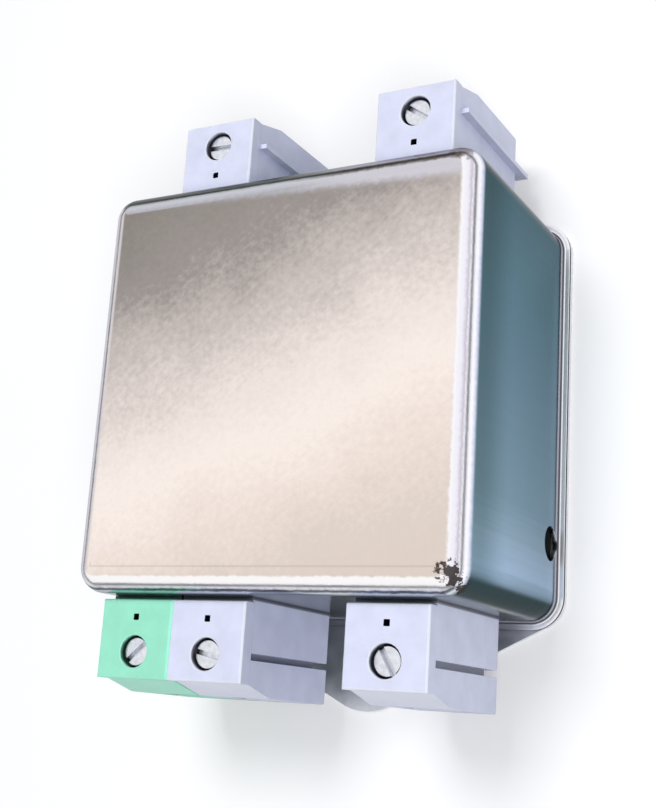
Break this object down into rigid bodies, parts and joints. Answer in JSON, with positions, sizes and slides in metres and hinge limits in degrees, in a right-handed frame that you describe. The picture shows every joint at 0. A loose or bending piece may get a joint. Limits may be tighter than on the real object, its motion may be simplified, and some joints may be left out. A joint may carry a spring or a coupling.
{
  "type": "mains interference line filter",
  "caption": "Single-phase mains interference line filter: a square drawn steel can on a base plate with fixing ears, with grey and green screw-clamp terminals on both end walls.",
  "frame": {"origin": "on the mounting surface under the middle of the can (underside of the base plate)", "axes": "+Z out of the can's face, away from the mounting surface; +Y towards the load end, along the line of the two fixing holes; -Y is the line end with the green earth terminal; +X is the side whose wall has the small round hole"},
  "size_m": [0.078, 0.11, 0.046],
  "materials": {
    "can_steel": "bright plated steel with a fine orange-peel surface",
    "insulating_sheet": "matt insulating board",
    "housing_grey": "satin moulded polyamide",
    "housing_green": "satin moulded polyamide",
    "screw_steel": "bright nickel plating",
    "cage_steel": "bright zinc plating",
    "bar_brass": "tin-plated brass",
    "circuit_board": "satin solder mask on glass-fibre board",
    "spacer_nylon": "natural polyamide",
    "choke_plastic": "matt moulded plastic",
    "choke_core": "epoxy-coated ferrite",
    "winding_copper": "glossy enamel on copper",
    "capacitor_box": "satin plastic case",
    "capacitor_disc": "dipped epoxy",
    "resistor": "matt lacquer"
  },
  "bodies": {
    "root": {"can": "can_steel", "base_plate": "can_steel", "insulating_sheet": "insulating_sheet", "housing_earth": "housing_green", "housing_neutral_in": "housing_grey", "housing_live_in": "housing_grey", "housing_neutral_out": "housing_grey", "housing_live_out": "housing_grey", "bar_earth": "bar_brass", "bar_neutral_in": "bar_brass", "bar_live_in": "bar_brass", "bar_neutral_out": "bar_brass", "bar_live_out": "bar_brass", "circuit_board": "circuit_board", "board_spacers": "spacer_nylon", "choke_base": "choke_plastic", "choke_divider": "choke_plastic", "choke_core": "choke_core", "winding_live": "winding_copper", "winding_neutral": "winding_copper", "x_capacitor_line": "capacitor_box", "x_capacitor_load": "capacitor_box", "y_capacitor_live": "capacitor_disc", "y_capacitor_neutral": "capacitor_disc", "bleed_resistor": "resistor"},
    "screw_earth": {"screw_earth": "screw_steel"},
    "cage_earth": {"cage_earth": "cage_steel"},
    "screw_neutral_in": {"screw_neutral_in": "screw_steel"},
    "cage_neutral_in": {"cage_neutral_in": "cage_steel"},
    "screw_live_in": {"screw_live_in": "screw_steel"},
    "cage_live_in": {"cage_live_in": "cage_steel"},
    "screw_neutral_out": {"screw_neutral_out": "screw_steel"},
    "cage_neutral_out": {"cage_neutral_out": "cage_steel"},
    "screw_live_out": {"screw_live_out": "screw_steel"},
    "cage_live_out": {"cage_live_out": "cage_steel"}
  },
  "joints": [
    {"name": "turn_earth", "type": "hinge", "parent": "root", "child": "screw_earth", "pos_m": [-0.0265, -0.0474, 0.036], "axis": [0, 0, 1], "range_deg": [-2880, 0]},
    {"name": "clamp_earth", "type": "slide", "parent": "root", "child": "cage_earth", "axis": [0, 0, 1], "range_m": [0, 0.0056]},
    {"name": "turn_neutral_in", "type": "hinge", "parent": "root", "child": "screw_neutral_in", "pos_m": [-0.0115, -0.0474, 0.036], "axis": [0, 0, 1], "range_deg": [-2880, 0]},
    {"name": "clamp_neutral_in", "type": "slide", "parent": "root", "child": "cage_neutral_in", "axis": [0, 0, 1], "range_m": [0, 0.0056]},
    {"name": "turn_live_in", "type": "hinge", "parent": "root", "child": "screw_live_in", "pos_m": [0.0225, -0.0474, 0.036], "axis": [0, 0, 1], "range_deg": [-2880, 0]},
    {"name": "clamp_live_in", "type": "slide", "parent": "root", "child": "cage_live_in", "axis": [0, 0, 1], "range_m": [0, 0.0056]},
    {"name": "turn_neutral_out", "type": "hinge", "parent": "root", "child": "screw_neutral_out", "pos_m": [-0.018, 0.0474, 0.036], "axis": [0, 0, 1], "range_deg": [-2880, 0]},
    {"name": "clamp_neutral_out", "type": "slide", "parent": "root", "child": "cage_neutral_out", "axis": [0, 0, 1], "range_m": [0, 0.0056]},
    {"name": "turn_live_out", "type": "hinge", "parent": "root", "child": "screw_live_out", "pos_m": [0.023, 0.0474, 0.036], "axis": [0, 0, 1], "range_deg": [-2880, 0]},
    {"name": "clamp_live_out", "type": "slide", "parent": "root", "child": "cage_live_out", "axis": [0, 0, 1], "range_m": [0, 0.0056]}
  ],
  "couplings": [
    {"joint": "turn_earth", "follows": "clamp_earth", "rad_per_m": -8976},
    {"joint": "turn_neutral_in", "follows": "clamp_neutral_in", "rad_per_m": -8976},
    {"joint": "turn_live_in", "follows": "clamp_live_in", "rad_per_m": -8976},
    {"joint": "turn_neutral_out", "follows": "clamp_neutral_out", "rad_per_m": -8976},
    {"joint": "turn_live_out", "follows": "clamp_live_out", "rad_per_m": -8976}
  ]
}
